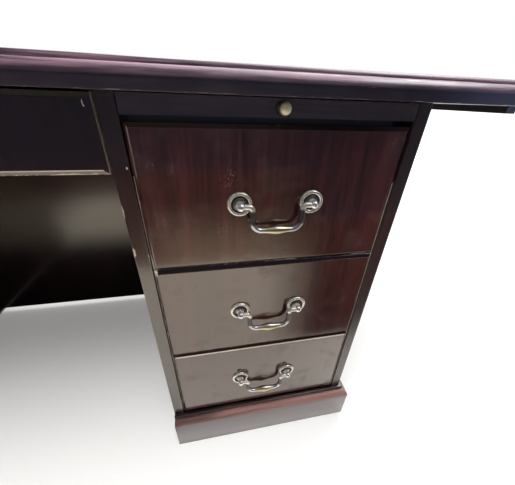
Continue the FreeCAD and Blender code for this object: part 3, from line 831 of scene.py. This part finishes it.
drawerWood = bareWood("drawerWood", drawerWoodLook, grainAlongY)
bottomWood = bareWood("bottomPanel", bottomLook, grainAlongX)
paint("top_dowels", drawerWood)
paint("centre_drawer_box", drawerWood)
paint("centre_drawer_runners", drawerWood)
paint("centre_drawer_bottom", bottomWood)
for side in sides:
    paint(side + "_drawer_runners", drawerWood)
    for name in drawerNames:
        paint(side + "_" + name + "_drawer_box", drawerWood)
        paint(side + "_" + name + "_drawer_bottom", bottomWood)
print("drawer boxes ready")


# Pulls and slide knobs: antiqued plate, rubbed through to yellow brass where fingers draw on the grips
# The wash colour is patina in the hollows and painted shade on the bail's legs
pullWashAndShade = rgb(0.030, 0.027, 0.024)
postLook = {"bright": rgb(0.74, 0.70, 0.60), "washAndShade": pullWashAndShade, "hollow": 0.006, "spots": 0.08, "gloss": 0.24,
            "metal": 0.76, "rosette": 0.0174, "dish": (0.0056, 0.0128), "dishWash": 0.80,
            "head": 0.0048, "highlightCream": rgb(0.86, 0.83, 0.84), "headMetal": 0.90, "soft": 0.0012}
bailLook = {"bright": rgb(0.70, 0.68, 0.66), "washAndShade": pullWashAndShade, "hollow": 0.003, "spots": 0.1, "gloss": 0.32,
            "metal": 1.0, "yellow": rgb(0.70, 0.61, 0.34), "highlightCream": rgb(0.82, 0.78, 0.68), "tipMetal": 0.90,
            "reach": (0.021, 0.0126), "thick": 0.0064, "under": (0.8, 0.5), "drop": 0.0365, "legShade": 0.9,
            "legFrom": (0.006, 0.013), "legTo": (0.004, 0.008), "tip": (0.006, 0.003)}
knobLook = {"bright": rgb(0.74, 0.67, 0.43), "washAndShade": rgb(0.15, 0.125, 0.095), "hollow": 0.003, "spots": 0.2,
            "gloss": 0.40, "metal": 0.6, "rim": (0.0061, 0.0074)}


def offAxis(tree, across, up):
    return length(tree, addNode(tree, "CombineXYZ", {0: across, 1: up}).outputs[0])


# Wash stays in the dish of each rosette; the head in its middle gets a painted highlight in cream
def postTone(tree, place, color, look, middle, half):
    across = calc(tree, "SUBTRACT", calc(tree, "ABSOLUTE", calc(tree, "SUBTRACT", place[0], middle[0])), half)
    far = offAxis(tree, across, calc(tree, "SUBTRACT", place[2], middle[2]))
    inner, outer = look["dish"]
    dish = calc(tree, "MULTIPLY", remap(tree, far, inner, inner + look["soft"]),
                remap(tree, far, outer, outer - look["soft"], 0.0, look["dishWash"]))
    color = mixColor(tree, dish, color, look["washAndShade"])
    head = remap(tree, far, look["head"] + look["soft"], look["head"])
    color = mixColor(tree, head, color, look["highlightCream"])
    return color, remap(tree, head, 0.0, 1.0, look["metal"], look["headMetal"])


# The swell is rubbed yellow underneath; the legs get painted shade for dark reflections, and the tips a
# painted highlight
def bailTone(tree, place, color, look, middle):
    off = calc(tree, "ABSOLUTE", calc(tree, "SUBTRACT", place[0], middle[0]))
    along = remap(tree, off, *look["reach"])
    under = remap(tree, place[2], *(middle[2] + look["thick"] * share for share in look["under"]))
    color = mixColor(tree, calc(tree, "MULTIPLY", along, under), color, look["yellow"])
    pivot = middle[2] + look["drop"]
    above = remap(tree, place[2], *(middle[2] + up for up in look["legFrom"]))
    # The legs are painted dark: painted shade for dark reflections
    below = remap(tree, place[2], *(pivot - down for down in look["legTo"]), 0.0, look["legShade"])
    color = mixColor(tree, calc(tree, "MULTIPLY", above, below), color, look["washAndShade"])
    # The tips get a painted highlight in cream
    tip = remap(tree, place[2], *(pivot - down for down in look["tip"]))
    color = mixColor(tree, tip, color, look["highlightCream"])
    return color, remap(tree, tip, 0.0, 1.0, look["metal"], look["tipMetal"])


# Painted shade round the rim of a knob
def knobRimShade(tree, place, color, look, middle):
    far = offAxis(tree, *(calc(tree, "SUBTRACT", place[axis], middle[axis]) for axis in (0, 2)))
    return mixColor(tree, remap(tree, far, *look["rim"]), color, look["washAndShade"]), look["metal"]


def brass(node, look, tone, *where):
    material, tree, shader, coords = newMaterial(node + "Brass")
    aged = useGroup(tree, agedBrass, {
        "Coords": coords["Object"], "Bright": look["bright"], "Wash": look["washAndShade"],
        "Hollow": look["hollow"], "Spots": look["spots"], "Gloss": look["gloss"],
    })
    color, metal = tone(tree, axes(tree, coords["Object"]), aged["Color"], look, *where)
    tree.links.new(color, shader.inputs["Base Color"])
    tree.links.new(aged["Roughness"], shader.inputs["Roughness"])
    feed(tree, shader, "Metallic", metal)
    paint(node, material)


def nodeMiddle(node):
    low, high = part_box(node)
    return [(low[i] + high[i]) / 2 for i in range(3)]


def buildPull(drawer):
    posts = drawer + "_pull_posts"
    brass(posts, postLook, postTone, nodeMiddle(posts), nodeSize(posts)[0] / 2 - postLook["rosette"])
    bail = drawer + "_pull_bail"
    middle = nodeMiddle(bail)
    middle[2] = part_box(bail)[0][2] + bailLook["thick"]
    brass(bail, bailLook, bailTone, middle)


# Writing slides
slideLook = {"ease": 0.0004, "shortest": 0.01, "arris": 0.0005, "bare": 0.1, "upper": 0.001}


def buildSlide(side):
    node = side + "_writing_slide_lipping"
    wear = boardWear(nodeSize(node), slideLook["arris"], slideLook["bare"])
    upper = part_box(node)[1][2] - slideLook["upper"]
    easedCopy(node, slideLook["ease"], slideLook["shortest"], side + "_writing_slide",
              lacquer(node + "Lacquer", slideShadedFinish, [wear]),
              lambda edge: all(vert.co.z > upper for vert in edge.verts))
    paint(side + "_writing_slide_board", lacquer(side + "SlideLacquer", boardFinish, []))
    knob = side + "_writing_slide_knob"
    brass(knob, knobLook, knobRimShade, nodeMiddle(knob))


for side in sides:
    buildSlide(side)
    for name in drawerNames:
        buildPull(side + "_" + name + "_drawer")
print("slides and pulls ready")


# Floor, lamps and world
stageLook = {
    "floor": rgb(0.82, 0.81, 0.79), "grey": rgb(0.7, 0.7, 0.7), "cloud": 3.0, "clean": (0.97, 1.0),
    "rough": 0.9, "specular": 0.1, "reach": 40.0, "white": 0.22, "farWhite": 0.75, "far": (1.3, 4.5),
}
lampLook = {
    "key": {"place": (0.1, -0.85, 2.4), "aim": (0.3, -0.75, 0.0), "size": 1.2, "power": 58.0,
            "mirrored": False},
    "back": {"place": (0.9, 1.9, 3.2), "aim": (0.6, 1.2, 0.0), "size": 3.0, "power": 120.0,
             "mirrored": True},
}
worldLook = {"front": rgb(0.22, 0.22, 0.225), "rear": rgb(1.0, 1.0, 1.0), "turn": (-0.1, 0.5)}
# Cards that only reflections see: a dark room in front of the desk, whose foot glows as a painted reflection
# of lit floor; a dim side card that paints the shaded floor on the right into reflections; strips of ceiling
# light and a dark sheet over the left; and dark sheets on the floor under and left of the desk, which paint
# the desk's shade into reflections.
# The upper light is dim to the left of the span in left, the foot light begins over the span in lit and fades
# out at the height in fade, and soft is the axis and span over which an edge of the card fades in
plainCard = {"upper": 0.0, "dim": 0.3, "left": None, "foot": 0.0, "soft": None, "tinted": False}
# Tints of the painted reflections on the tinted cards
cardTint = {"upper": (0.62, 0.72, 1.22), "middle": (1.7, 0.90, 0.85), "foot": (1.0, 0.89, 0.71),
            "turn": (0.45, 0.48)}


def uprightCard(start, end, tall):
    return [(*start, 0.0), (*end, 0.0), (*end, tall), (*start, tall)]


def levelCard(across, deep, up):
    return [(across[i], deep[j], up) for i, j in ((0, 0), (1, 0), (1, 1), (0, 1))]


cardLook = {
    "front": dict(plainCard, corners=uprightCard((-1.6, -1.18), (2.4, -1.18), 1.25), foot=0.61, upper=0.08,
                  fade=0.36, lit=(0.0, 0.36), left=(-1.0, -0.3), tinted=True),
    "side": dict(plainCard, corners=uprightCard((0.56, -0.66), (1.8, -0.66), 1.0), upper=0.32, dim=0.17,
                 left=(0.90, 1.08), soft=(0, 0.56, 0.80), tinted=True),
    "ceiling": dict(plainCard, corners=levelCard((0.2, 2.6), (-0.95, 0.9), 2.4), upper=7.0,
                    left=(0.3, 2.2), soft=(0, 0.3, 0.9)),
    "strip": dict(plainCard, corners=levelCard((1.1, 2.6), (-1.5, -0.95), 2.4), upper=7.0,
                  soft=(0, 1.1, 1.9)),
    "ceilingLeft": dict(plainCard, corners=levelCard((-3.0, 0.30), (-0.95, 1.2), 2.41),
                        soft=(0, 0.30, -0.30)),
    "kneeholeShade": dict(plainCard, corners=levelCard((-0.34, 0.34), (-0.62, 0.4), 0.003),
                     soft=(1, -0.60, -0.30)),
    "leftFloorShade": dict(plainCard, corners=levelCard((-3.0, -0.36), (-1.18, -0.47), 0.003),
                      soft=(0, -0.36, -0.80)),
    "leftEndShade": dict(plainCard, corners=levelCard((-3.0, -0.93), (-0.47, 0.6), 0.003), soft=(1, 0.6, 0.0)),
}


def addSheet(name, corners, material):
    bm = bmesh.new()
    bm.faces.new([bm.verts.new(corner) for corner in corners])
    mesh = bpy.data.meshes.new(name)
    bm.to_mesh(mesh)
    bm.free()
    mesh.materials.append(material)
    sheet = bpy.data.objects.new(name, mesh)
    scene.collection.objects.link(sheet)
    return sheet


def buildFloor():
    material, tree, shader, coords = newMaterial("studioFloor")
    shade = remap(tree, noise(tree, coords["Object"], stageLook["cloud"]), 0.0, 1.0, *stageLook["clean"])
    tree.links.new(mixColor(tree, shade, stageLook["grey"], stageLook["floor"]), shader.inputs["Base Color"])
    shader.inputs["Roughness"].default_value = stageLook["rough"]
    shader.inputs["Specular IOR Level"].default_value = stageLook["specular"]
    # A white background for the camera and for mirrored views, with the shadow kept
    path = addNode(tree, "LightPath").outputs
    seen = calc(tree, "MAXIMUM", path["Is Glossy Ray"], path["Is Transmission Ray"])
    seen = calc(tree, "MAXIMUM", path["Is Camera Ray"], seen)
    shader.inputs["Emission Color"].default_value = rgb(1.0, 1.0, 1.0)
    far = remap(tree, length(tree, coords["Object"]), *stageLook["far"], 0.0, stageLook["farWhite"])
    glow = calc(tree, "ADD", calc(tree, "MULTIPLY", seen, stageLook["white"]),
                calc(tree, "MULTIPLY", path["Is Camera Ray"], far))
    tree.links.new(glow, shader.inputs["Emission Strength"])
    reach = stageLook["reach"]
    floor = addSheet("studioFloor", levelCard((-reach, reach), (-reach, reach), 0.0), material)


def buildCard(name, look):
    material, tree, shader, coords = newMaterial(name + "Card")
    place = axes(tree, coords["Object"])
    upper = look["upper"]
    shader.inputs["Base Color"].default_value = rgb(0.0, 0.0, 0.0)
    shader.inputs["Specular IOR Level"].default_value = 0.0
    shader.inputs["Emission Color"].default_value = rgb(1.0, 1.0, 1.0)
    shader.inputs["Emission Strength"].default_value = 1.0 if look["tinted"] else upper
    if look["soft"]:
        axis, *span = look["soft"]
        tree.links.new(remap(tree, place[axis], *span), shader.inputs["Alpha"])
    if look["tinted"]:
        high = remap(tree, place[0], *look["left"], look["dim"] * upper, upper)
        tones = {}
        for i in range(3):
            tint = remap(tree, place[2], *cardTint["turn"], cardTint["middle"][i], cardTint["upper"][i])
            tones[i] = calc(tree, "MULTIPLY", high, tint)
        if look["foot"]:
            low = calc(tree, "MULTIPLY", remap(tree, place[0], *look["lit"]),
                       remap(tree, place[2], 0.0, look["fade"], 1.0, 0.0))
            for i in range(3):
                glow = calc(tree, "MULTIPLY", low, look["foot"] * cardTint["foot"][i])
                tones[i] = calc(tree, "ADD", glow, tones[i])
        tree.links.new(addNode(tree, "CombineColor", tones).outputs[0], shader.inputs["Emission Color"])
    elif look["left"]:
        glow = remap(tree, place[0], *look["left"], look["dim"], 1.0)
        tree.links.new(glow, shader.inputs["Emission Color"])
    card = addSheet(name + "Card", look["corners"], material)
    card.visible_camera = False
    card.visible_diffuse = False
    card.visible_shadow = False


def buildLamp(name, look):
    light = bpy.data.lights.new(name, "AREA")
    light.size = look["size"]
    light.energy = look["power"]
    lamp = bpy.data.objects.new(name, light)
    scene.collection.objects.link(lamp)
    lamp.location = look["place"]
    lamp.visible_glossy = look["mirrored"]
    aim = Vector(look["aim"]) - Vector(look["place"])
    lamp.rotation_euler = aim.to_track_quat("-Z", "Y").to_euler()


def buildWorld():
    world = bpy.data.worlds.new("studio")
    scene.world = world
    world.use_nodes = True
    tree = world.node_tree
    toward = axes(tree, addNode(tree, "TexCoord").outputs["Generated"])[1]
    shade = mixColor(tree, remap(tree, toward, *worldLook["turn"]), worldLook["front"], worldLook["rear"])
    seen = addNode(tree, "LightPath").outputs["Is Camera Ray"]
    shade = mixColor(tree, seen, shade, worldLook["rear"])
    tree.links.new(shade, tree.nodes["Background"].inputs["Color"])


buildFloor()
for name, look in cardLook.items():
    buildCard(name, look)
for name, look in lampLook.items():
    buildLamp(name, look)
buildWorld()

# Camera fitted to the photograph, which is 515 by 485 pixels
cameraLook = {
    "place": (0.4544, -0.7481, 0.7336), "yaw": 0.2080, "pitch": 0.5254, "roll": -0.0382,
    "focalPixels": 248.824, "imageWide": 515.0, "sensor": 36.0, "near": 0.01,
}


def buildCamera():
    yaw, pitch, roll = cameraLook["yaw"], cameraLook["pitch"], cameraLook["roll"]
    forward = Vector((math.sin(yaw) * math.cos(pitch), math.cos(yaw) * math.cos(pitch), -math.sin(pitch)))
    level = Vector((math.cos(yaw), -math.sin(yaw), 0.0))
    below = forward.cross(level)
    right = math.cos(roll) * level + math.sin(roll) * below
    down = -math.sin(roll) * level + math.cos(roll) * below
    camera = bpy.data.objects.new("photoCamera", bpy.data.cameras.new("photoCamera"))
    scene.collection.objects.link(camera)
    turn = Matrix((right, -down, -forward)).transposed().to_4x4()
    camera.matrix_world = Matrix.Translation(cameraLook["place"]) @ turn
    camera.data.sensor_width = cameraLook["sensor"]
    camera.data.sensor_fit = "HORIZONTAL"
    camera.data.lens = cameraLook["sensor"] * cameraLook["focalPixels"] / cameraLook["imageWide"]
    camera.data.clip_start = cameraLook["near"]
    scene.camera = camera


buildCamera()
print("stage and camera ready")
